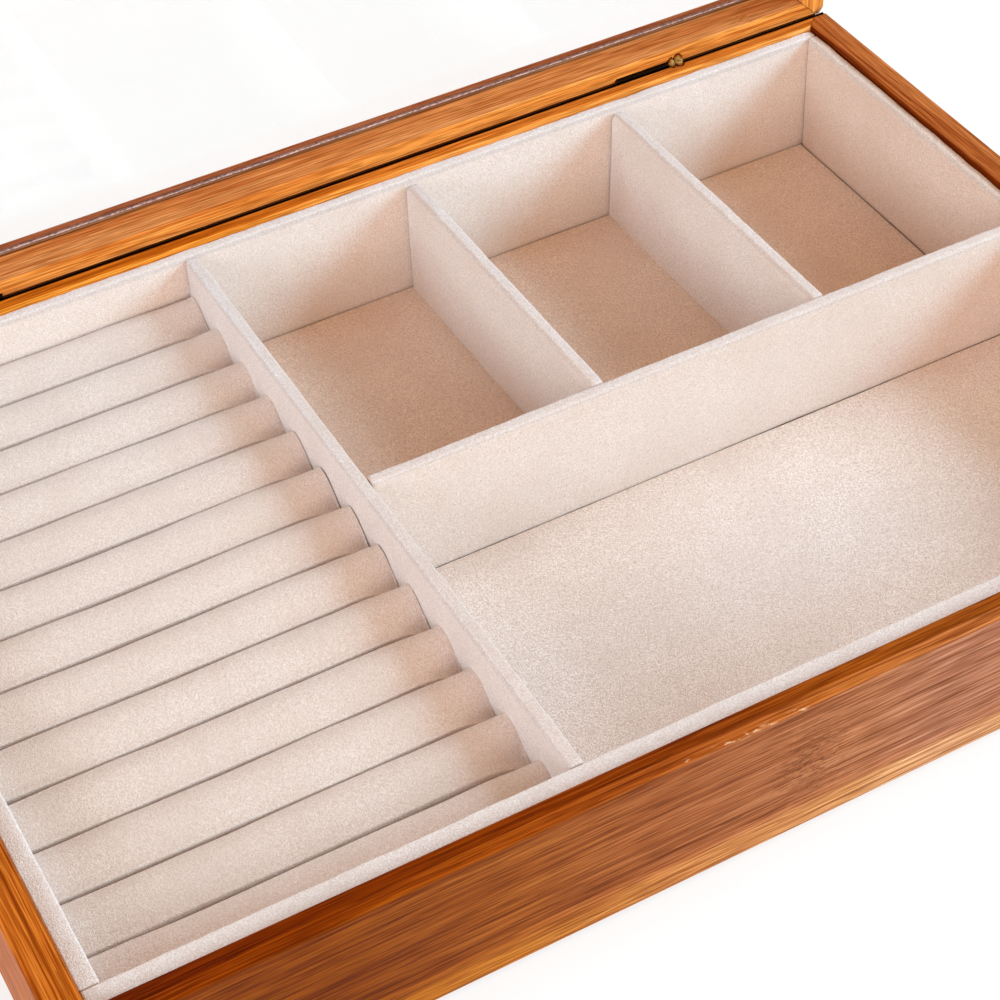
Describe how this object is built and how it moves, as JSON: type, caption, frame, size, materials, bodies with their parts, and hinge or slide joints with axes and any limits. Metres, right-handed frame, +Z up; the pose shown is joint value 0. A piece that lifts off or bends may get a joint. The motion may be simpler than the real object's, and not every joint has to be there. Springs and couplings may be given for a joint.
{
  "type": "flip-top jewelry box",
  "caption": "Flip-top jewelry box: mitred bamboo case and framed clear lid on slim brass hinges, with suede ring rolls, open bays and a long tray inside.",
  "frame": {"origin": "middle of the case's underside, on the surface that the box stands on", "axes": "+X along the length towards the open bays, +Y towards the hinged back, +Z up"},
  "size_m": [0.3048, 0.2218, 0.2462],
  "materials": {
    "case_bamboo": "caramel bamboo strips under a satin lacquer",
    "lid_bamboo": "lighter caramel bamboo under a satin lacquer",
    "bottom_board": "plain thin board",
    "suede_lining": "cream suede cloth with a fine nap",
    "brass": "aged and lightly polished",
    "clear_pane": "clear and polished"
  },
  "bodies": {
    "case": {"front_wall": "case_bamboo", "back_wall": "case_bamboo", "left_wall": "case_bamboo", "right_wall": "case_bamboo", "bottom_board": "bottom_board", "lining_back_panel": "suede_lining", "lining_front_panel": "suede_lining", "lining_left_panel": "suede_lining", "lining_right_panel": "suede_lining", "ring_divider": "suede_lining", "long_divider": "suede_lining", "left_bay_divider": "suede_lining", "middle_bay_divider": "suede_lining", "left_bay_floor_pad": "suede_lining", "middle_bay_floor_pad": "suede_lining", "right_bay_floor_pad": "suede_lining", "large_bay_floor_pad": "suede_lining", "ring_roll_base": "suede_lining", "ring_roll_01": "suede_lining", "ring_roll_02": "suede_lining", "ring_roll_03": "suede_lining", "ring_roll_04": "suede_lining", "ring_roll_05": "suede_lining", "ring_roll_06": "suede_lining", "ring_roll_07": "suede_lining", "ring_roll_08": "suede_lining", "ring_roll_09": "suede_lining", "ring_roll_10": "suede_lining", "ring_roll_11": "suede_lining", "ring_roll_12": "suede_lining", "ring_roll_13": "suede_lining", "left_hinge_case_leaf": "brass", "right_hinge_case_leaf": "brass", "left_hinge_pin": "brass", "right_hinge_pin": "brass"},
    "lid": {"lid_front_rail": "lid_bamboo", "lid_back_rail": "lid_bamboo", "lid_left_rail": "lid_bamboo", "lid_right_rail": "lid_bamboo", "glass_pane": "clear_pane", "left_hinge_lid_leaf": "brass", "right_hinge_lid_leaf": "brass"}
  },
  "joints": [
    {"name": "lid_hinge", "type": "hinge", "parent": "case", "child": "lid", "pos_m": [0, 0.10175, 0.03955], "axis": [1, 0, 0], "range_deg": [0, 90]}
  ]
}
